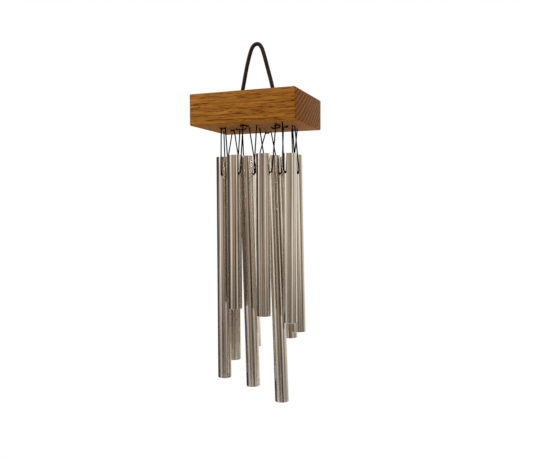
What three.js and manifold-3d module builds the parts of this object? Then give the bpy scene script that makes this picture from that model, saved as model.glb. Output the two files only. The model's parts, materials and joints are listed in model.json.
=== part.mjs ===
// Wind chime: a small oak block that hangs from a cord loop and carries ten metal tubes.
// Millimetres, +Z up. The origin is the underside of the hanging loop's top, where a hook bears.
import * as THREE from 'three';
import { mergeVertices } from 'three/addons/utils/BufferGeometryUtils.js';
import Module from 'manifold-3d';

const wasm = await Module();
wasm.setup();

// Wooden block
const BLOCK_WIDTH = 74;
const BLOCK_DEPTH = 58;
const BLOCK_HEIGHT = 21;
const BLOCK_EDGE = 0.8;
const BLOCK_TOP = -35;
const BLOCK_UNDERSIDE = BLOCK_TOP - BLOCK_HEIGHT;

// Hanging loop, glued into two blind bores in the block's top
const LOOP_DIAMETER = 2.7;
const LOOP_BORE = 3.5;
const LOOP_BORE_DEPTH = 12;
const LOOP_BORE_X = 12;
const LOOP_END_DEPTH = 10;

// Sling cord, and the blind bores that its legs come out of
const CORD_DIAMETER = 0.9;
const CORD_BORE = 1.7;
const CORD_BORE_DEPTH = 7;
const CORD_GAP = 0.5;

// Tubes
const TUBE_DIAMETER = 9.5;
const TUBE_WALL = 0.9;
const TUBE_DROP = 19;
const CROSS_HOLE = 1.8;
const CROSS_HOLE_BELOW_TOP = 12.5;
const CROSS_HOLE_Z = BLOCK_UNDERSIDE - TUBE_DROP - CROSS_HOLE_BELOW_TOP;

// Each tube: its place on the underside, its length, the bearing of the line through its cord's
// two bores, how far along that line the bores are, the bearing of its cross hole, and its lean
// along that hole. Bearings and leans are in degrees.
const TUBES = [
  { x: -26.2, y: 0, length: 156.5, sling: 109, bores: [-10.5, 6.5], hole: 102, lean: 0 },
  { x: -25, y: 14.5, length: 147, sling: 118, bores: [8.5, -13], hole: -11, lean: 0 },
  { x: -15.6, y: 22.5, length: 137.5, sling: -6, bores: [-5.5, 14], hole: -33, lean: 2.6 },
  { x: -12, y: -12.5, length: 104.4, sling: 161, bores: [-8.2, 8.1], hole: 152, lean: 0 },
  { x: -7.6, y: -1.5, length: 160.2, sling: -48, bores: [-14, 5.9], hole: 8, lean: 1.5 },
  { x: 10.1, y: -15.5, length: 107.7, sling: 159, bores: [-11.5, 5.5], hole: 176, lean: 0 },
  { x: 10.8, y: 3.5, length: 170, sling: 8, bores: [-10.1, 6.7], hole: -14, lean: 2.1 },
  { x: 14.4, y: 18, length: 128.3, sling: -21, bores: [-14, 5.5], hole: -21, lean: 1.9 },
  { x: 25.9, y: 5.5, length: 120.3, sling: -78, bores: [-11, 5.5], hole: -54, lean: 2.8 },
  { x: 26.8, y: -10.5, length: 111.9, sling: -94, bores: [-5.5, 11.5], hole: -106, lean: 0 },
];

// Each leg of a sling bends this far outside the tube's wall and this far above the cross hole,
// then turns in through the hole by these steps, each a distance from the wall and a height
const BEND_OUT = 1.9;
const BEND_RISE = 2.6;
const TURN_STEPS = [[1.45, 1], [0.5, 0.12], [-1.4, 0]];

// Short cord runs along the underside, each from one small bore to another, some bowed sideways
const LACING_RUNS = [
  { from: [-22.4, -11.9], to: [-18.6, -11.9], bow: 0 },
  { from: [-14, -4], to: [-7.7, -2.5], bow: 0 },
  { from: [10.8, -0.4], to: [17.1, -2.3], bow: 0 },
  { from: [-5, -17.4], to: [-0.2, -16.1], bow: -8 },
  { from: [-3.3, 24.2], to: [-0.8, 24.9], bow: -1.2 },
  { from: [16.2, -9.2], to: [19.5, -7.9], bow: -8 },
  { from: [20.8, -2.4], to: [23.5, -4.1], bow: 0 },
  { from: [-19.9, 0.1], to: [-17.5, -0.6], bow: 0 },
];
const LACING_DEPTH = 4;
const LACING_GAP = 0.4;
const LACING_SHARES = [0.15, 0.33, 0.5, 0.67, 0.85];

// Fineness: sides of round sections and steps along each cord
const CORD_SIDES = 8;
const BORE_SIDES = 12;
const TUBE_SIDES = 24;
const LOOP_STEPS = 48;
const LACING_STEPS = 18;
const SLING_STEPS = 40;
const LEG_SHARES = [0, 0.25, 0.5, 0.75, 1];

// How far a drill bit overruns the face it enters
const OVERRUN = 1;

const oak = new THREE.MeshStandardMaterial({ color: 0x9c6a2e, roughness: 0.55, metalness: 0 });
const tubeMetal = new THREE.MeshStandardMaterial({ color: 0xb8a892, roughness: 0.25, metalness: 1 });
const blackCord = new THREE.MeshStandardMaterial({ color: 0x14100e, roughness: 0.8, metalness: 0 });
const loopCord = new THREE.MeshStandardMaterial({ color: 0x241610, roughness: 0.6, metalness: 0 });

const chime = new THREE.Group();

function addMesh(parent, name, geometry, material) {
  const mesh = new THREE.Mesh(geometry, material);
  mesh.name = name;
  parent.add(mesh);
  return mesh;
}

function toSolid(geometry) {
  const bare = geometry.clone();
  bare.deleteAttribute('normal');
  bare.deleteAttribute('uv');
  const merged = mergeVertices(bare, 1e-4);
  return new wasm.Manifold(new wasm.Mesh({
    numProp: 3,
    vertProperties: merged.attributes.position.array,
    triVerts: Uint32Array.from(merged.index.array),
  }));
}

function fromSolid(solid) {
  const mesh = solid.getMesh();
  const geometry = new THREE.BufferGeometry();
  geometry.setAttribute('position', new THREE.BufferAttribute(mesh.vertProperties, 3));
  geometry.setIndex(new THREE.BufferAttribute(mesh.triVerts, 1));
  geometry.computeVertexNormals();
  return geometry;
}

// A round bit along Z whose lower end is at the given point
function drillBit(diameter, length, x, y, z) {
  const bit = new THREE.CylinderGeometry(diameter / 2, diameter / 2, length, BORE_SIDES);
  bit.rotateX(Math.PI / 2);
  bit.translate(x, y, z + length / 2);
  return toSolid(bit);
}

// A cord of round section along a curve
function cordGeometry(curve, diameter, steps) {
  const section = new THREE.Shape();
  for (let i = 0; i < CORD_SIDES; i += 1) {
    const angle = (i + 0.5) * 2 * Math.PI / CORD_SIDES;
    const x = Math.cos(angle) * diameter / 2;
    const y = Math.sin(angle) * diameter / 2;
    if (i === 0) {
      section.moveTo(x, y);
    } else {
      section.lineTo(x, y);
    }
  }
  return new THREE.ExtrudeGeometry(section, { steps, extrudePath: curve });
}

function curveThrough(points) {
  const places = points.map((point) => new THREE.Vector3(...point));
  return new THREE.CatmullRomCurve3(places, false, 'centripetal');
}

// Where the bores of a tube's sling come out of the underside
function slingBores(tube) {
  const bearing = THREE.MathUtils.degToRad(tube.sling);
  return tube.bores.map((reach) => [
    tube.x + reach * Math.cos(bearing),
    tube.y + reach * Math.sin(bearing),
  ]);
}

function makeBlock() {
  const halfWidth = BLOCK_WIDTH / 2 - BLOCK_EDGE;
  const halfDepth = BLOCK_DEPTH / 2 - BLOCK_EDGE;
  const outline = new THREE.Shape();
  outline.moveTo(-halfWidth, -halfDepth);
  outline.lineTo(halfWidth, -halfDepth);
  outline.lineTo(halfWidth, halfDepth);
  outline.lineTo(-halfWidth, halfDepth);
  const board = new THREE.ExtrudeGeometry(outline, {
    depth: BLOCK_HEIGHT - 2 * BLOCK_EDGE,
    bevelSize: BLOCK_EDGE,
    bevelThickness: BLOCK_EDGE,
    bevelSegments: 1,
  });
  board.translate(0, 0, BLOCK_UNDERSIDE + BLOCK_EDGE);
  let block = toSolid(board);

  for (const x of [-LOOP_BORE_X, LOOP_BORE_X]) {
    block = block.subtract(
      drillBit(LOOP_BORE, LOOP_BORE_DEPTH + OVERRUN, x, 0, BLOCK_TOP - LOOP_BORE_DEPTH),
    );
  }
  const lacingBores = LACING_RUNS.flatMap((run) => [run.from, run.to]);
  const cordBores = [...TUBES.flatMap(slingBores), ...lacingBores];
  for (const [x, y] of cordBores) {
    block = block.subtract(
      drillBit(CORD_BORE, CORD_BORE_DEPTH + OVERRUN, x, y, BLOCK_UNDERSIDE - OVERRUN),
    );
  }
  addMesh(chime, 'oak_block', fromSolid(block), oak);
}

// A narrow upturned V with a rounded top, set a little off centre as it hangs
function makeHangingLoop() {
  const route = curveThrough([
    [-LOOP_BORE_X, 0, BLOCK_TOP - LOOP_END_DEPTH],
    [-LOOP_BORE_X, 0, BLOCK_TOP - 5],
    [-LOOP_BORE_X, 0, BLOCK_TOP - 1],
    [-11.2, 0, -31],
    [-10.2, 0, -26.5],
    [-8.9, 0, -20],
    [-7.6, 0, -14],
    [-6.3, 0, -9],
    [-5, 0, -4.6],
    [-3.7, 0, -1.4],
    [-2.1, 0, 0.6],
    [0, 0, LOOP_DIAMETER / 2],
    [2, 0, 0.6],
    [3.5, 0, -1.6],
    [4.8, 0, -5],
    [6.1, 0, -9.4],
    [7.6, 0, -15],
    [9.4, 0, -21.5],
    [10.8, 0, -27],
    [11.7, 0, -31.5],
    [LOOP_BORE_X, 0, BLOCK_TOP - 1],
    [LOOP_BORE_X, 0, BLOCK_TOP - 5],
    [LOOP_BORE_X, 0, BLOCK_TOP - LOOP_END_DEPTH],
  ]);
  addMesh(chime, 'hanging_loop', cordGeometry(route, LOOP_DIAMETER, LOOP_STEPS), loopCord);
}

// The cord comes down out of one bore, lies along the underside and goes up into the next bore
function makeLacingRun(run, name) {
  const start = new THREE.Vector2(...run.from);
  const end = new THREE.Vector2(...run.to);
  const sideways = end.clone().sub(start).normalize().rotateAround(new THREE.Vector2(), Math.PI / 2);
  const at = (share, z) => {
    const place = start.clone().lerp(end, share);
    place.addScaledVector(sideways, run.bow * 4 * share * (1 - share));
    return [place.x, place.y, z];
  };
  const lying = BLOCK_UNDERSIDE - CORD_DIAMETER / 2 - LACING_GAP;
  const route = curveThrough([
    at(0, BLOCK_UNDERSIDE + LACING_DEPTH),
    at(0, BLOCK_UNDERSIDE + CORD_DIAMETER),
    at(0, BLOCK_UNDERSIDE - LACING_GAP),
    ...LACING_SHARES.map((share) => at(share, lying)),
    at(1, BLOCK_UNDERSIDE - LACING_GAP),
    at(1, BLOCK_UNDERSIDE + CORD_DIAMETER),
    at(1, BLOCK_UNDERSIDE + LACING_DEPTH),
  ]);
  addMesh(chime, name, cordGeometry(route, CORD_DIAMETER, LACING_STEPS), blackCord);
}

// The sling's frame: origin at the tube's cross hole, X along the hole, Z up.
// The cord leaves one bore, passes straight through the tube and goes up to the other bore.
function makeSling(tube, hanger, name) {
  const exitZ = BLOCK_UNDERSIDE - CORD_GAP - CROSS_HOLE_Z;
  const wall = TUBE_DIAMETER / 2;
  const twist = THREE.MathUtils.degToRad(tube.sling - tube.hole);
  const leg = (side, reach) => {
    const bore = new THREE.Vector3(reach * Math.cos(twist), reach * Math.sin(twist), exitZ);
    const bend = new THREE.Vector3(side * (wall + BEND_OUT), 0, BEND_RISE);
    return LEG_SHARES.map((share) => bore.clone().lerp(bend, share).toArray());
  };
  const turn = (side) => TURN_STEPS.map(([out, rise]) => [side * (wall + out), 0, rise]);
  const route = curveThrough([
    ...leg(-1, tube.bores[0]),
    ...turn(-1),
    [0, 0, 0],
    ...turn(1).reverse(),
    ...leg(1, tube.bores[1]).reverse(),
  ]);
  addMesh(hanger, name, cordGeometry(route, CORD_DIAMETER, SLING_STEPS), blackCord);
}

// A hollow tube hung on the cord through its cross hole, at the frame's origin
function makeTube(tube, hanger, name) {
  const outer = TUBE_DIAMETER / 2;
  const inner = outer - TUBE_WALL;
  const top = CROSS_HOLE_BELOW_TOP;
  const bottom = top - tube.length;
  const wall = [[outer, bottom], [outer, top], [inner, top], [inner, bottom], [outer, bottom]];
  const pipe = new THREE.LatheGeometry(wall.map(([r, z]) => new THREE.Vector2(r, z)), TUBE_SIDES);
  pipe.rotateX(Math.PI / 2);
  const bit = new THREE.CylinderGeometry(CROSS_HOLE / 2, CROSS_HOLE / 2, 2 * TUBE_DIAMETER, BORE_SIDES);
  bit.rotateZ(Math.PI / 2);
  const mesh = addMesh(hanger, name, fromSolid(toSolid(pipe).subtract(toSolid(bit))), tubeMetal);
  mesh.rotation.y = -THREE.MathUtils.degToRad(tube.lean);
}

makeBlock();
makeHangingLoop();
LACING_RUNS.forEach((run, i) => makeLacingRun(run, `lacing_run_${i + 1}`));
TUBES.forEach((tube, i) => {
  const number = String(i + 1).padStart(2, '0');
  const hanger = new THREE.Group();
  hanger.position.set(tube.x, tube.y, CROSS_HOLE_Z);
  hanger.rotation.z = THREE.MathUtils.degToRad(tube.hole);
  chime.add(hanger);
  makeSling(tube, hanger, `sling_${number}`);
  makeTube(tube, hanger, `tube_${number}`);
});

export default chime;
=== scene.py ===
"""Wind chime: an oak block on a cord loop, with ten metal tubes slung from it on black cord."""
import json
import math

import bmesh
import bpy
import numpy as np
from mathutils import Matrix, Vector

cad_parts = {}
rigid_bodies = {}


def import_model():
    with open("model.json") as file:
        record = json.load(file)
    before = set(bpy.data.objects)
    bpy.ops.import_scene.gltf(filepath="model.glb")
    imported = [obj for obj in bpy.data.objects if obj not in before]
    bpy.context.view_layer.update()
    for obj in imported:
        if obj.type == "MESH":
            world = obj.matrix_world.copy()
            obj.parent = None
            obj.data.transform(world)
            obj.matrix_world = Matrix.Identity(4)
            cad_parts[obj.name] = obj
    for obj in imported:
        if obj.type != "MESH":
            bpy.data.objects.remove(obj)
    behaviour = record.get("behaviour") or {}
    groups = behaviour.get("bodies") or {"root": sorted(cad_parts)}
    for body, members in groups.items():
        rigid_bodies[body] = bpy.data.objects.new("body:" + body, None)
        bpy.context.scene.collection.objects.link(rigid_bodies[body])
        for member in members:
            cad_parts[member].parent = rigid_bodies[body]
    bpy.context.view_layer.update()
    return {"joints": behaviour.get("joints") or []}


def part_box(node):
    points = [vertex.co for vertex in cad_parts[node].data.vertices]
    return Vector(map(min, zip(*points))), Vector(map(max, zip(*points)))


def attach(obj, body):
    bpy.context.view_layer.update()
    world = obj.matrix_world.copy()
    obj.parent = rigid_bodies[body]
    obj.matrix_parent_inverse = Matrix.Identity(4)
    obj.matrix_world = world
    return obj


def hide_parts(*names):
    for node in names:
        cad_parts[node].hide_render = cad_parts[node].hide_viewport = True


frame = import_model()

MM = 0.001

# Camera, at the photograph's viewing angle
CAMERA_PLACE = Vector((0.1549, -0.3856, -0.1086))
CAMERA_YAW = math.radians(21.07)
CAMERA_PITCH = math.radians(-2.38)
CAMERA_ROLL = math.radians(-0.3)
SENSOR_WIDTH = 36
LENS = 40.5

# Cords and tubes, as the CAD model has them
CORD_DIAMETER = 0.9 * MM
CORD_SIDES = 16
CORD_STRANDS = 3
CORD_LAY = 2.2 * MM           # length of cord in which its strands go round once
CORD_GROOVE = 0.22            # depth between strands, as a share of the cord's radius
CORD_STEP = 0.35 * MM
LOOP_DIAMETER = 2.7 * MM
LOOP_SIDES = 32
LOOP_STEP = 0.5 * MM
CURVE_STEPS = 16              # fine points between two route points, before they are spaced evenly
TUBE_RADIUS = 4.75 * MM
TUBE_WALL = 0.9 * MM
CROSS_HOLE = 1.8 * MM
CROSS_HOLE_BELOW_TOP = 12.5 * MM

# Each tube: its number, how far along the line through its cord's two bores the bores are, in
# millimetres, and its lean along its cross hole in degrees
TUBES = [
    ("01", (-10.5, 6.5), 0), ("02", (8.5, -13), 0), ("03", (-5.5, 14), 2.6), ("04", (-8.2, 8.1), 0),
    ("05", (-14, 5.9), 1.5), ("06", (-11.5, 5.5), 0), ("07", (-10.1, 6.7), 2.1), ("08", (-14, 5.5), 1.9),
    ("09", (-11, 5.5), 2.8), ("10", (-5.5, 11.5), 0),
]
BEND_OUT = 1.9
BEND_RISE = 2.6
TURN_STEPS = [(1.45, 1), (0.5, 0.12), (-1.4, 0)]

# Short cord runs along the underside: from, to and sideways bow, in millimetres
LACING_RUNS = [
    ((-22.4, -11.9), (-18.6, -11.9), 0),
    ((-14, -4), (-7.7, -2.5), 0),
    ((10.8, -0.4), (17.1, -2.3), 0),
    ((-5, -17.4), (-0.2, -16.1), -8),
    ((-3.3, 24.2), (-0.8, 24.9), -1.2),
    ((16.2, -9.2), (19.5, -7.9), -8),
    ((20.8, -2.4), (23.5, -4.1), 0),
    ((-19.9, 0.1), (-17.5, -0.6), 0),
]
LACING_GAP = 0.4
LACING_DEPTH = 4
LACING_SHARES = (0.15, 0.33, 0.5, 0.67, 0.85)
LOOP_ROUTE = [
    (-12, -45), (-12, -40), (-12, -36), (-11.2, -31), (-10.2, -26.5), (-8.9, -20),
    (-7.6, -14), (-6.3, -9), (-5, -4.6), (-3.7, -1.4), (-2.1, 0.6), (0, 1.35),
    (2, 0.6), (3.5, -1.6), (4.8, -5), (6.1, -9.4), (7.6, -15), (9.4, -21.5),
    (10.8, -27), (11.7, -31.5), (12, -36), (12, -40), (12, -45),
]
LOOP_BORE = 3.5 * MM
LOOP_BORE_DEPTH = 12 * MM
LOOP_BORE_X = 12 * MM
CORD_BORE = 1.7 * MM
CORD_BORE_DEPTH = 7 * MM
BLOCK_EDGE = 0.8 * MM
BLOCK_EDGE_STEPS = 4
RIM_EASE = 0.15 * MM
RIM_STEPS = 5
SHARP_ANGLE = math.radians(35)
TUBE_SIDES = 72
BIT_SIDES = 24

# Oak: growth rings about an axis along X, at this y and z, in millimetres
RING_CENTRE = (-92, 75)
RING_WIDTH = 3.4
RING_WANDER = 2.6
GRAIN_SLOPE = 0.02

# Studio: bearing around the object in degrees, brightness and tint of the room there
FACING = -68
PALE = (1.0, 0.97, 0.93)
WARM = (1.0, 0.86, 0.74)
STUDIO_WALLS = [
    (FACING - 170, 0.25, PALE),
    (FACING - 110, 0.05, PALE),
    (FACING - 92, 0.06, PALE),
    (FACING - 80, 0.95, PALE),
    (FACING - 60, 0.95, PALE),
    (FACING - 50, 0.50, WARM),
    (FACING - 28, 0.40, WARM),
    (FACING + 12, 0.34, WARM),
    (FACING + 22, 0.46, WARM),
    (FACING + 38, 1.0, PALE),
    (FACING + 48, 0.95, PALE),
    (FACING + 60, 0.40, WARM),
    (FACING + 76, 0.60, PALE),
    (FACING + 100, 0.85, PALE),
    (FACING + 152, 1.25, PALE),
]
STUDIO_CEILING = 1.5
STUDIO_SKIRTING = 0.5         # how much of their brightness the walls keep well below eye level
STUDIO_STRENGTH = 1.0
KEY_POWER = 6
KEY_PLACE = (-0.75, -0.75, 0.55)
KEY_SIZE = 0.5
KEY_AIM = Vector((0, 0, -0.08))
FLOOR_LEVEL = -2
FLOOR_RADIUS = 3
FLOOR_SIDES = 96

BLOCK_LOW, BLOCK_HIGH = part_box("oak_block")
UNDERSIDE = BLOCK_LOW.z
SLING_INSIDE = 0.5 * MM       # how far up its bore a sling's cord is seen to go
joints = {joint["name"]: joint for joint in frame["joints"]}


def make_camera():
    yaw, pitch, roll = CAMERA_YAW, CAMERA_PITCH, CAMERA_ROLL
    forward = Vector((-math.sin(yaw) * math.cos(pitch), math.cos(yaw) * math.cos(pitch), math.sin(pitch)))
    level = Vector((math.cos(yaw), math.sin(yaw), 0))
    rise = level.cross(forward)
    right = level * math.cos(roll) + rise * math.sin(roll)
    up = rise * math.cos(roll) - level * math.sin(roll)
    data = bpy.data.cameras.new("camera")
    data.sensor_width = SENSOR_WIDTH
    data.lens = LENS
    data.clip_start = 0.01
    camera = bpy.data.objects.new("camera", data)
    bpy.context.scene.collection.objects.link(camera)
    camera.matrix_world = Matrix((
        (right.x, up.x, -forward.x, CAMERA_PLACE.x),
        (right.y, up.y, -forward.y, CAMERA_PLACE.y),
        (right.z, up.z, -forward.z, CAMERA_PLACE.z),
        (0, 0, 0, 1),
    ))
    bpy.context.scene.camera = camera


def new_object(name, verts, faces, smooth=True):
    mesh = bpy.data.meshes.new(name)
    mesh.from_pydata([tuple(v) for v in verts], [], faces)
    mesh.update()
    if smooth:
        mesh.shade_smooth()
    piece = bpy.data.objects.new(name, mesh)
    bpy.context.scene.collection.objects.link(piece)
    return piece


def smooth_route(points, step):
    """Points a step apart on the centripetal Catmull-Rom curve through the points, and its length."""
    pts = [np.array(p, float) for p in points]
    pts = [2 * pts[0] - pts[1]] + pts + [2 * pts[-1] - pts[-2]]
    fine = []
    for p0, p1, p2, p3 in zip(pts, pts[1:], pts[2:], pts[3:]):
        d1, d2, d3 = (max(np.linalg.norm(b - a), 1e-9) ** 0.5 for a, b in ((p0, p1), (p1, p2), (p2, p3)))
        t1, t2, t3 = d1, d1 + d2, d1 + d2 + d3
        for t in np.linspace(t1, t2, CURVE_STEPS, endpoint=False):
            a1 = p0 * (t1 - t) / t1 + p1 * t / t1
            a2 = p1 * (t2 - t) / (t2 - t1) + p2 * (t - t1) / (t2 - t1)
            a3 = p2 * (t3 - t) / (t3 - t2) + p3 * (t - t2) / (t3 - t2)
            b1 = a1 * (t2 - t) / t2 + a2 * t / t2
            b2 = a2 * (t3 - t) / (t3 - t1) + a3 * (t - t1) / (t3 - t1)
            fine.append(b1 * (t2 - t) / (t2 - t1) + b2 * (t - t1) / (t2 - t1))
    fine.append(pts[-2])
    fine = np.array(fine)
    lengths = np.concatenate([[0], np.cumsum(np.linalg.norm(np.diff(fine, axis=0), axis=1))])
    count = max(2, round(lengths[-1] / step) + 1)
    at = np.linspace(0, lengths[-1], count)
    return np.stack([np.interp(at, lengths, fine[:, k]) for k in range(3)], axis=1), lengths[-1]


def cord_mesh(name, route, radius, sides, groove_depth=0.0):
    """A laid cord along a route: its round section has shallow grooves that wind around it."""
    tangents = np.gradient(route, axis=0)
    tangents /= np.linalg.norm(tangents, axis=1)[:, None]
    normal = np.cross(tangents[0], (0.0, 0.0, 1.0))
    if np.linalg.norm(normal) < 0.1:
        normal = np.cross(tangents[0], (0.0, 1.0, 0.0))
    verts, travelled = [], 0.0
    for i, (point, tangent) in enumerate(zip(route, tangents)):
        normal = normal - tangent * (normal @ tangent)
        normal /= np.linalg.norm(normal)
        side = np.cross(tangent, normal)
        if i:
            travelled += np.linalg.norm(point - route[i - 1])
        for k in range(sides):
            angle = 2 * math.pi * k / sides
            strand = abs(math.sin(CORD_STRANDS / 2 * (angle + 2 * math.pi * travelled / CORD_LAY)))
            r = radius * (1 - groove_depth * (1 - strand) ** 2)
            verts.append(point + r * (math.cos(angle) * normal + math.sin(angle) * side))
    rings = len(route)
    faces = [
        (i * sides + k, i * sides + (k + 1) % sides, (i + 1) * sides + (k + 1) % sides, (i + 1) * sides + k)
        for i in range(rings - 1) for k in range(sides)
    ]
    faces.append(tuple(reversed(range(sides))))
    faces.append(tuple(range((rings - 1) * sides, rings * sides)))
    return new_object(name, verts, faces)


def bearing_frame(joint_name, height):
    """Axes of a swing joint: origin on its vertical line at a height, X along its axis, Z up."""
    joint = joints[joint_name]
    along = Vector(joint["axis"]).normalized()
    up = Vector((0, 0, 1))
    axes = Matrix((along, up.cross(along), up)).transposed().to_4x4()
    axes.translation = Vector((*joint["pos_m"][:2], height))
    return axes


def hanger_frame(number):
    """The tube's own frame: origin at its cross hole, X along the hole, Z up."""
    joint_name = f"tube_{number}_swing"
    return bearing_frame(joint_name, joints[joint_name]["pos_m"][2])


def sling_bores(number, reaches):
    """Where the sling's two bores come out of the block's underside."""
    sling_axes = bearing_frame(f"sling_{number}_swing", UNDERSIDE)
    return [sling_axes @ Vector((reach * MM, 0, 0)) for reach in reaches]


def sling_points(number, reaches):
    """Down from one bore, straight through the tube and up to the other bore."""
    place = hanger_frame(number)
    wall = TUBE_RADIUS / MM

    def leg(side, bore):
        start = bore + Vector((0, 0, SLING_INSIDE))
        bend = place @ (Vector((side * (wall + BEND_OUT), 0, BEND_RISE)) * MM)
        return [start.lerp(bend, share) for share in (0, 0.25, 0.5, 0.75, 1)]

    def turn(side):
        return [place @ (Vector((side * (wall + out), 0, rise)) * MM) for out, rise in TURN_STEPS]

    near, far = sling_bores(number, reaches)
    return [*leg(-1, near), *turn(-1), place.translation, *reversed(turn(1)), *reversed(leg(1, far))]


def make_slings():
    for number, reaches, lean in TUBES:
        route, length = smooth_route(sling_points(number, reaches), CORD_STEP)
        piece = cord_mesh(f"sling_cord_{number}", route, CORD_DIAMETER / 2, CORD_SIDES, CORD_GROOVE)
        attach(piece, f"sling_{number}")
        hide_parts(f"sling_{number}")
        piece.data.materials.append(BLACK_CORD)


def make_lacing_runs():
    underside = UNDERSIDE / MM
    lying = underside - CORD_DIAMETER / MM / 2 - LACING_GAP
    for i, (start, end, bow) in enumerate(LACING_RUNS, 1):
        start, end = Vector(start), Vector(end)
        sideways = (end - start).normalized().orthogonal() * bow

        def at(share, z):
            place = start.lerp(end, share) + sideways * 4 * share * (1 - share)
            return np.array((*place, z)) * MM

        heights = (underside + LACING_DEPTH, underside + CORD_DIAMETER / MM, underside - LACING_GAP)
        points = [*(at(0, z) for z in heights), *(at(share, lying) for share in LACING_SHARES),
                  *(at(1, z) for z in reversed(heights))]
        route, _ = smooth_route(points, CORD_STEP)
        piece = cord_mesh(f"lacing_cord_{i}", route, CORD_DIAMETER / 2, CORD_SIDES, CORD_GROOVE)
        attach(piece, "block")
        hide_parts(f"lacing_run_{i}")
        piece.data.materials.append(BLACK_CORD)


def make_hanging_loop():
    route, length = smooth_route([(x * MM, 0, z * MM) for x, z in LOOP_ROUTE], LOOP_STEP)
    piece = cord_mesh("hanging_loop_cord", route, LOOP_DIAMETER / 2, LOOP_SIDES)
    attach(piece, "block")
    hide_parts("hanging_loop")
    piece.data.materials.append(LOOP_CORD)


class Nodes:
    """A material's or world's node tree, with short ways to add and join nodes."""

    def __init__(self, tree):
        self.tree = tree

    def add(self, kind, settings=None, **inputs):
        node = self.tree.nodes.new(kind)
        for name, value in (settings or {}).items():
            setattr(node, name, value)
        for name, value in inputs.items():
            self.feed(node.inputs[int(name[1:]) if name[1:].isdigit() else name.replace("_", " ")], value)
        return node

    def feed(self, socket, value):
        if isinstance(value, bpy.types.NodeSocket):
            self.tree.links.new(value, socket)
        else:
            socket.default_value = value

    def math(self, operation, *values, clamp=False):
        node = self.add("ShaderNodeMath", {"operation": operation, "use_clamp": clamp})
        for socket, value in zip(node.inputs, values):
            self.feed(socket, value)
        return node.outputs[0]

    def vector(self, operation, *values):
        node = self.add("ShaderNodeVectorMath", {"operation": operation})
        for socket, value in zip(node.inputs, values):
            self.feed(socket, value)
        return node.outputs[0]

    def noise(self, place, scale, detail=2.0, roughness=0.5):
        return self.add("ShaderNodeTexNoise", Vector=place, Scale=scale, Detail=detail,
                        Roughness=roughness).outputs["Fac"]

    def steps(self, value, *stops, mode="LINEAR"):
        """A ramp from (place, colour or grey) stops."""
        ramp = self.add("ShaderNodeValToRGB", Fac=value)
        ramp.color_ramp.interpolation = mode
        elements = ramp.color_ramp.elements
        while len(elements) < len(stops):
            elements.new(1.0)
        for element, (place, colour) in zip(elements, stops):
            element.position = place
            element.color = (*colour, 1) if isinstance(colour, tuple) else (colour, colour, colour, 1)
        return ramp.outputs["Color"]

    def mix(self, share, first, second, blend="MIX"):
        node = self.add("ShaderNodeMix", {"data_type": "RGBA", "blend_type": blend})
        for index, value in ((0, share), (6, first), (7, second)):
            if isinstance(value, tuple):
                value = (*value, 1)
            self.feed(node.inputs[index], value)
        return node.outputs[2]

    def bump(self, height, strength, distance):
        return self.add("ShaderNodeBump", Height=height, Strength=strength, Distance=distance).outputs[0]


def srgb(red, green, blue):
    """Linear colour of an 8-bit display colour."""
    def linear(value):
        value /= 255
        return value / 12.92 if value <= 0.04045 else ((value + 0.055) / 1.055) ** 2.4
    return tuple(linear(value) for value in (red, green, blue))


def new_material(name):
    material = bpy.data.materials.new(name)
    material.use_nodes = True
    nodes = Nodes(material.node_tree)
    shader = material.node_tree.nodes["Principled BSDF"]
    place = nodes.add("ShaderNodeTexCoord").outputs["Object"]
    millimetres = nodes.vector("MULTIPLY", place, (1000, 1000, 1000))
    return material, nodes, shader, millimetres


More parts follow.
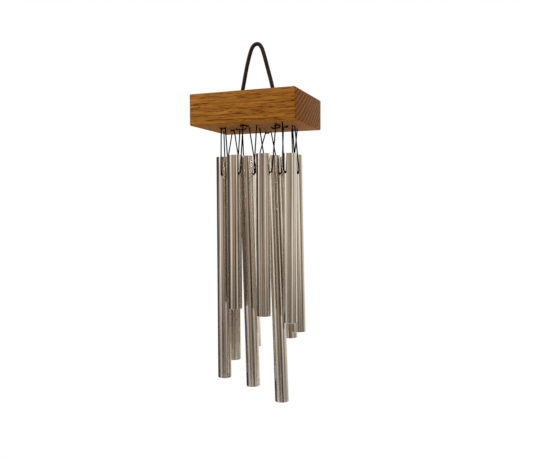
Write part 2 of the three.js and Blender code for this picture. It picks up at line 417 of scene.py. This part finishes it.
def make_oak():
    """Oak sawn near the quarter: rings about an axis along X, up and behind the block."""
    material, nodes, shader, place = new_material("oak")
    wander = nodes.noise(nodes.vector("MULTIPLY", place, (0.012, 0.05, 0.05)), 1.0, 2)
    drift = nodes.math("MULTIPLY", nodes.math("SUBTRACT", wander, 0.5), RING_WANDER)
    parts = nodes.add("ShaderNodeSeparateXYZ", Vector=place).outputs
    across = nodes.math("SUBTRACT", parts[1], RING_CENTRE[0])
    slope = nodes.math("MULTIPLY", parts[0], GRAIN_SLOPE)
    height = nodes.math("SUBTRACT", nodes.math("ADD", parts[2], slope), RING_CENTRE[1])
    radius = nodes.math("SQRT", nodes.math("ADD", nodes.math("POWER", across, 2.0),
                                           nodes.math("POWER", height, 2.0)))
    rings = nodes.math("DIVIDE", nodes.math("ADD", radius, drift), RING_WIDTH)
    ring = nodes.math("FRACT", rings)
    early = nodes.steps(ring, (0.0, 1.0), (0.28, 0.75), (0.5, 0.12), (0.9, 0.0), (0.99, 0.9))

    long_way = nodes.vector("MULTIPLY", place, (0.04, 1.0, 1.0))
    fibres = nodes.noise(long_way, 1.0, 5, 0.62)
    fine = nodes.noise(nodes.vector("MULTIPLY", place, (0.12, 4.0, 4.0)), 1.0, 3, 0.6)
    colour = nodes.steps(fibres, (0.3, srgb(116, 69, 17)), (0.45, srgb(145, 93, 33)),
                         (0.58, srgb(164, 110, 45)), (0.72, srgb(186, 132, 64)))
    colour = nodes.mix(nodes.math("MULTIPLY", early, 0.4), colour, srgb(124, 66, 6))
    colour = nodes.mix(nodes.math("MULTIPLY", nodes.math("SUBTRACT", fine, 0.5), 0.9, clamp=True),
                       colour, srgb(104, 54, 4))

    pore_noise = nodes.noise(nodes.vector("MULTIPLY", place, (0.13, 2.6, 2.6)), 1.0, 1, 0.5)
    crowd = nodes.math("MULTIPLY", early, 0.07)
    pores = nodes.steps(nodes.math("ADD", pore_noise, crowd), (0.625, 0.0), (0.675, 1.0))
    colour = nodes.mix(nodes.math("MULTIPLY", pores, 0.9), colour, srgb(74, 32, 3))

    # End faces (across X) take an end-grain colour: its rings and pore dots are the oak's own, and its
    # darker tone is partly real end grain, partly painted shade.
    normal = nodes.add("ShaderNodeNewGeometry").outputs["Normal"]
    end = nodes.math("ABSOLUTE", nodes.add("ShaderNodeSeparateXYZ", Vector=normal).outputs[0])
    end = nodes.steps(end, (0.6, 0.0), (0.95, 1.0))
    dots = nodes.noise(nodes.vector("MULTIPLY", place, (0.5, 1.9, 1.9)), 1.0, 2, 0.5)
    end_grain_and_shade_colour = nodes.mix(early, srgb(138, 84, 22), srgb(92, 47, 8))
    end_grain_and_shade_colour = nodes.mix(nodes.steps(dots, (0.54, 0.0), (0.64, 0.65)), end_grain_and_shade_colour, srgb(66, 32, 6))
    colour = nodes.mix(end, colour, end_grain_and_shade_colour)
    nodes.feed(shader.inputs["Base Color"], colour)
    nodes.feed(shader.inputs["Roughness"],
               nodes.math("ADD", nodes.math("MULTIPLY", fibres, 0.2), 0.36))
    relief = nodes.math("SUBTRACT", nodes.math("MULTIPLY", fine, 0.25), nodes.math("MULTIPLY", pores, 1.0))
    nodes.feed(shader.inputs["Normal"], nodes.bump(relief, 0.5, 0.00012))
    shader.inputs["Specular IOR Level"].default_value = 0.02
    return material


def make_metal():
    """Drawn and polished tube: long, thin draw lines down its length, in tones that are partly painted
    reflection stripes, painted shade bands and a warm tint.
    """
    material, nodes, shader, place = new_material("tube_metal")
    bands = nodes.noise(nodes.vector("MULTIPLY", place, (0.9, 0.9, 0.003)), 1.0, 2, 0.5)
    lines = nodes.noise(nodes.vector("MULTIPLY", place, (1.8, 1.8, 0.006)), 1.0, 3, 0.6)
    hair = nodes.noise(nodes.vector("MULTIPLY", place, (9.0, 9.0, 0.03)), 1.0, 2, 0.5)
    smudge = nodes.noise(nodes.vector("MULTIPLY", place, (0.09, 0.09, 0.03)), 1.0, 3, 0.5)
    # Line tones: partly draw lines, partly painted reflection stripes.
    colour = nodes.steps(lines, (0.38, METAL_DARK), (0.5, METAL_MID), (0.6, METAL_LIGHT))
    # Painted shade: dark bands down the tube darken its colour, standing in for dark stripes in its
    # reflection.
    painted_shade_bands = nodes.steps(bands, (0.4, (0.42, 0.38, 0.34)), (0.45, (0.95, 0.95, 0.95)), (0.6, (1.0, 1.0, 1.0)))
    colour = nodes.mix(1.0, colour, painted_shade_bands, "MULTIPLY")
    colour = nodes.mix(nodes.steps(smudge, (0.4, 0.0), (0.75, 0.25)), colour, METAL_MID)
    nodes.feed(shader.inputs["Base Color"], colour)
    shader.inputs["Metallic"].default_value = 1.0
    rough = nodes.math("ADD", nodes.math("MULTIPLY", lines, 0.16), nodes.math("MULTIPLY", smudge, 0.08))
    nodes.feed(shader.inputs["Roughness"], nodes.math("ADD", rough, 0.06))
    relief = nodes.math("ADD", nodes.math("ADD", lines, bands), nodes.math("MULTIPLY", hair, 0.05))
    nodes.feed(shader.inputs["Normal"], nodes.bump(relief, 0.4, 0.00003))
    return material


def make_bore_metal():
    """The tube's inside, left dull from drawing, its dark colour painted shade for the hollow."""
    material, nodes, shader, place = new_material("tube_bore")
    grime_and_shade = nodes.noise(nodes.vector("MULTIPLY", place, (0.8, 0.8, 0.1)), 1.0, 3, 0.6)
    # Painted shade: the inside's dark tones stand in for the shade inside the tube.
    nodes.feed(shader.inputs["Base Color"],
               nodes.steps(grime_and_shade, (0.3, srgb(40, 35, 30)), (0.7, srgb(84, 76, 66))))
    shader.inputs["Metallic"].default_value = 1.0
    nodes.feed(shader.inputs["Roughness"], nodes.math("ADD", nodes.math("MULTIPLY", grime_and_shade, 0.2), 0.45))
    return material


def make_cord_material(name, dark, light, roughness, gloss, grain, relief):
    """Cord with fine fibre along it: grain is the noise's scale each way, relief its height."""
    material, nodes, shader, place = new_material(name)
    fibre = nodes.noise(nodes.vector("MULTIPLY", place, grain), 1.0, 3, 0.6)
    nodes.feed(shader.inputs["Base Color"], nodes.steps(fibre, (0.3, dark), (0.75, light)))
    nodes.feed(shader.inputs["Roughness"], nodes.math("ADD", nodes.math("MULTIPLY", fibre, 0.3), roughness))
    nodes.feed(shader.inputs["Normal"], nodes.bump(fibre, 0.4, relief))
    shader.inputs["Specular IOR Level"].default_value = gloss
    return material


def make_floor_material():
    material, nodes, shader, place = new_material("floor")
    tone = nodes.noise(nodes.vector("MULTIPLY", place, (0.01, 0.01, 0.01)), 1.0, 2)
    nodes.feed(shader.inputs["Base Color"], nodes.steps(tone, (0.3, 0.93), (0.7, 0.95)))
    shader.inputs["Roughness"].default_value = 0.9
    return material


def rim_arc(centre_r, centre_z, start, stop):
    """Points of an eased rim in a tube's half section, from one angle to another."""
    return [(centre_r + RIM_EASE * math.cos(a), centre_z + RIM_EASE * math.sin(a))
            for a in np.linspace(start, stop, RIM_STEPS)]


def tube_profile(bottom, top):
    """Half section of a tube with eased rims."""
    outer, inner = TUBE_RADIUS, TUBE_RADIUS - TUBE_WALL
    quarter = math.pi / 2
    out_r, in_r = outer - RIM_EASE, inner + RIM_EASE
    return [
        *rim_arc(out_r, bottom + RIM_EASE, -quarter, 0),
        *rim_arc(out_r, top - RIM_EASE, 0, quarter),
        *rim_arc(in_r, top - RIM_EASE, quarter, 2 * quarter),
        *rim_arc(in_r, bottom + RIM_EASE, 2 * quarter, 3 * quarter),
    ]


def make_tubes():
    for number, _, lean_degrees in TUBES:
        low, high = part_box(f"tube_{number}")
        lean = math.radians(lean_degrees)
        length = (high.z - low.z - 2 * TUBE_RADIUS * math.sin(lean)) / math.cos(lean)
        profile = tube_profile(CROSS_HOLE_BELOW_TOP - length, CROSS_HOLE_BELOW_TOP)
        turns = [2 * math.pi * k / TUBE_SIDES for k in range(TUBE_SIDES)]
        verts = [(r * math.cos(turn), r * math.sin(turn), z) for turn in turns for r, z in profile]
        count = len(profile)
        faces = [
            (k * count + i, (k + 1) % TUBE_SIDES * count + i,
             (k + 1) % TUBE_SIDES * count + (i + 1) % count, k * count + (i + 1) % count)
            for k in range(TUBE_SIDES) for i in range(count)
        ]
        piece = new_object(f"metal_tube_{number}", verts, faces)
        cut_hole(piece)
        inside = [math.hypot(*face.center.xy) < TUBE_RADIUS - TUBE_WALL + RIM_EASE / 2
                  for face in piece.data.polygons]
        upright = hanger_frame(number)
        piece.data.transform(upright)
        piece.matrix_world = upright @ Matrix.Rotation(-lean, 4, "Y") @ upright.inverted()
        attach(piece, f"tube_{number}")
        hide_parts(f"tube_{number}")
        finish_mesh(piece, METAL)
        # The inside faces take the bore metal, coloured dark as painted shade.
        piece.data.materials.append(BORE_METAL)
        for face, bored in zip(piece.data.polygons, inside):
            face.material_index = int(bored)


def finish_mesh(piece, material):
    piece.data.materials.clear()
    piece.data.materials.append(material)
    piece.data.shade_smooth()
    piece.data.set_sharp_from_angle(angle=SHARP_ANGLE)


def round_bit(radius, low, high, place):
    """A mesh of a round bit between two heights, in a frame."""
    mesh = bpy.data.meshes.new("bit")
    shape = bmesh.new()
    made = bmesh.ops.create_cone(shape, segments=BIT_SIDES, radius1=radius, radius2=radius,
                                 depth=high - low, cap_ends=True)
    bmesh.ops.translate(shape, verts=made["verts"], vec=(0, 0, (low + high) / 2))
    shape.transform(place)
    shape.to_mesh(mesh)
    shape.free()
    return mesh


def cut(piece, bits):
    """Takes the bits' meshes out of a piece."""
    group = bpy.data.collections.new("bits")
    for mesh in bits:
        group.objects.link(bpy.data.objects.new("bit", mesh))
    modifier = piece.modifiers.new("cut", "BOOLEAN")
    modifier.operand_type = "COLLECTION"
    modifier.collection = group
    modifier.operation = "DIFFERENCE"
    modifier.solver = "EXACT"
    piece.data = applied(piece)
    piece.modifiers.clear()
    for bit in list(group.objects):
        bpy.data.objects.remove(bit)
    bpy.data.collections.remove(group)


def applied(piece):
    """The piece's mesh with its modifiers applied."""
    evaluated = piece.evaluated_get(bpy.context.evaluated_depsgraph_get())
    return bpy.data.meshes.new_from_object(evaluated)


def cut_hole(piece):
    reach = 2 * TUBE_RADIUS
    cut(piece, [round_bit(CROSS_HOLE / 2, -reach, reach, Matrix.Rotation(math.pi / 2, 4, "Y"))])


def make_block():
    """The board with eased edges and its blind bores."""
    shape = bmesh.new()
    bmesh.ops.create_cube(shape, size=1)
    size = BLOCK_HIGH - BLOCK_LOW
    centre = (BLOCK_HIGH + BLOCK_LOW) / 2
    shape.transform(Matrix.Translation(centre) @ Matrix.Diagonal((*size, 1)))
    bmesh.ops.bevel(shape, geom=list(shape.edges), offset=BLOCK_EDGE, segments=BLOCK_EDGE_STEPS, profile=0.5,
                    affect="EDGES")
    mesh = bpy.data.meshes.new("oak_board")
    shape.to_mesh(mesh)
    shape.free()
    board = bpy.data.objects.new("oak_board", mesh)
    bpy.context.scene.collection.objects.link(board)
    spots = [bore for number, reaches, _ in TUBES for bore in sling_bores(number, reaches)]
    spots += [Vector((x * MM, y * MM, 0)) for start, end, _ in LACING_RUNS for x, y in (start, end)]
    bits = [round_bit(CORD_BORE / 2, UNDERSIDE - CORD_BORE, UNDERSIDE + CORD_BORE_DEPTH,
                      Matrix.Translation((spot.x, spot.y, 0))) for spot in spots]
    top = BLOCK_HIGH.z
    bits += [round_bit(LOOP_BORE / 2, top - LOOP_BORE_DEPTH, top + LOOP_BORE,
                       Matrix.Translation((x, 0, 0))) for x in (-LOOP_BORE_X, LOOP_BORE_X)]
    cut(board, bits)
    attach(board, "block")
    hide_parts("oak_block")
    finish_mesh(board, OAK)


def make_floor():
    turns = [2 * math.pi * k / FLOOR_SIDES for k in range(FLOOR_SIDES)]
    rim = [(FLOOR_RADIUS * math.cos(turn), FLOOR_RADIUS * math.sin(turn), FLOOR_LEVEL) for turn in turns]
    floor = new_object("floor", rim, [tuple(range(FLOOR_SIDES))])
    floor.data.materials.append(make_floor_material())


def make_studio():
    """A pale room: wall brightness by bearing around the object, dimmer near the floor."""
    world = bpy.data.worlds.new("studio")
    bpy.context.scene.world = world
    world.use_nodes = True
    nodes = Nodes(world.node_tree)
    background = world.node_tree.nodes["Background"]
    direction = nodes.add("ShaderNodeTexCoord").outputs["Generated"]
    parts = nodes.add("ShaderNodeSeparateXYZ", Vector=direction).outputs
    bearing = nodes.math("ARCTAN2", parts[1], parts[0])
    turn = nodes.math("FRACT", nodes.math("ADD", nodes.math("DIVIDE", bearing, 2 * math.pi), 1.0))
    stops = sorted(((degrees % 360) / 360, tuple(channel * tone for channel in tint))
                   for degrees, tone, tint in STUDIO_WALLS)
    walls = nodes.steps(turn, *stops)
    lower = nodes.steps(nodes.math("ADD", parts[2], 0.5), (0.12, STUDIO_SKIRTING), (0.4, 1.0))
    overhead = nodes.steps(parts[2], (0.35, 0.0), (0.75, 1.0))
    room = nodes.mix(overhead, nodes.mix(1.0, walls, lower, "MULTIPLY"), (STUDIO_CEILING,) * 3)
    seen = nodes.add("ShaderNodeLightPath").outputs["Is Camera Ray"]
    nodes.feed(background.inputs["Color"], nodes.mix(seen, room, (1.0, 1.0, 1.0)))
    background.inputs["Strength"].default_value = STUDIO_STRENGTH


def make_key_light():
    light = bpy.data.lights.new("key", "AREA")
    light.energy = KEY_POWER
    light.size = KEY_SIZE
    lamp = bpy.data.objects.new("key", light)
    lamp.location = KEY_PLACE
    lamp.rotation_euler = (KEY_AIM - lamp.location).to_track_quat("-Z", "Y").to_euler()
    bpy.context.scene.collection.objects.link(lamp)


# Tones of the tube's lines: their spread from dark to light is partly painted reflection stripes.
METAL_DARK, METAL_MID, METAL_LIGHT = srgb(170, 158, 142), srgb(234, 224, 209), srgb(252, 247, 238)
OAK = make_oak()
METAL = make_metal()
BORE_METAL = make_bore_metal()
BLACK_CORD = make_cord_material("black_cord", srgb(2, 1, 1), srgb(10, 8, 7),
                                roughness=0.7, gloss=0.03, grain=(2.5, 2.5, 2.5), relief=0.00006)
LOOP_CORD = make_cord_material("loop_cord", srgb(18, 8, 3), srgb(46, 26, 12),
                               roughness=0.42, gloss=0.2, grain=(0.5, 0.9, 0.25), relief=0.0001)

bpy.context.scene.view_settings.view_transform = "Standard"
make_camera()
make_slings()
make_lacing_runs()
make_hanging_loop()
make_tubes()
make_block()
make_floor()
make_studio()
make_key_light()
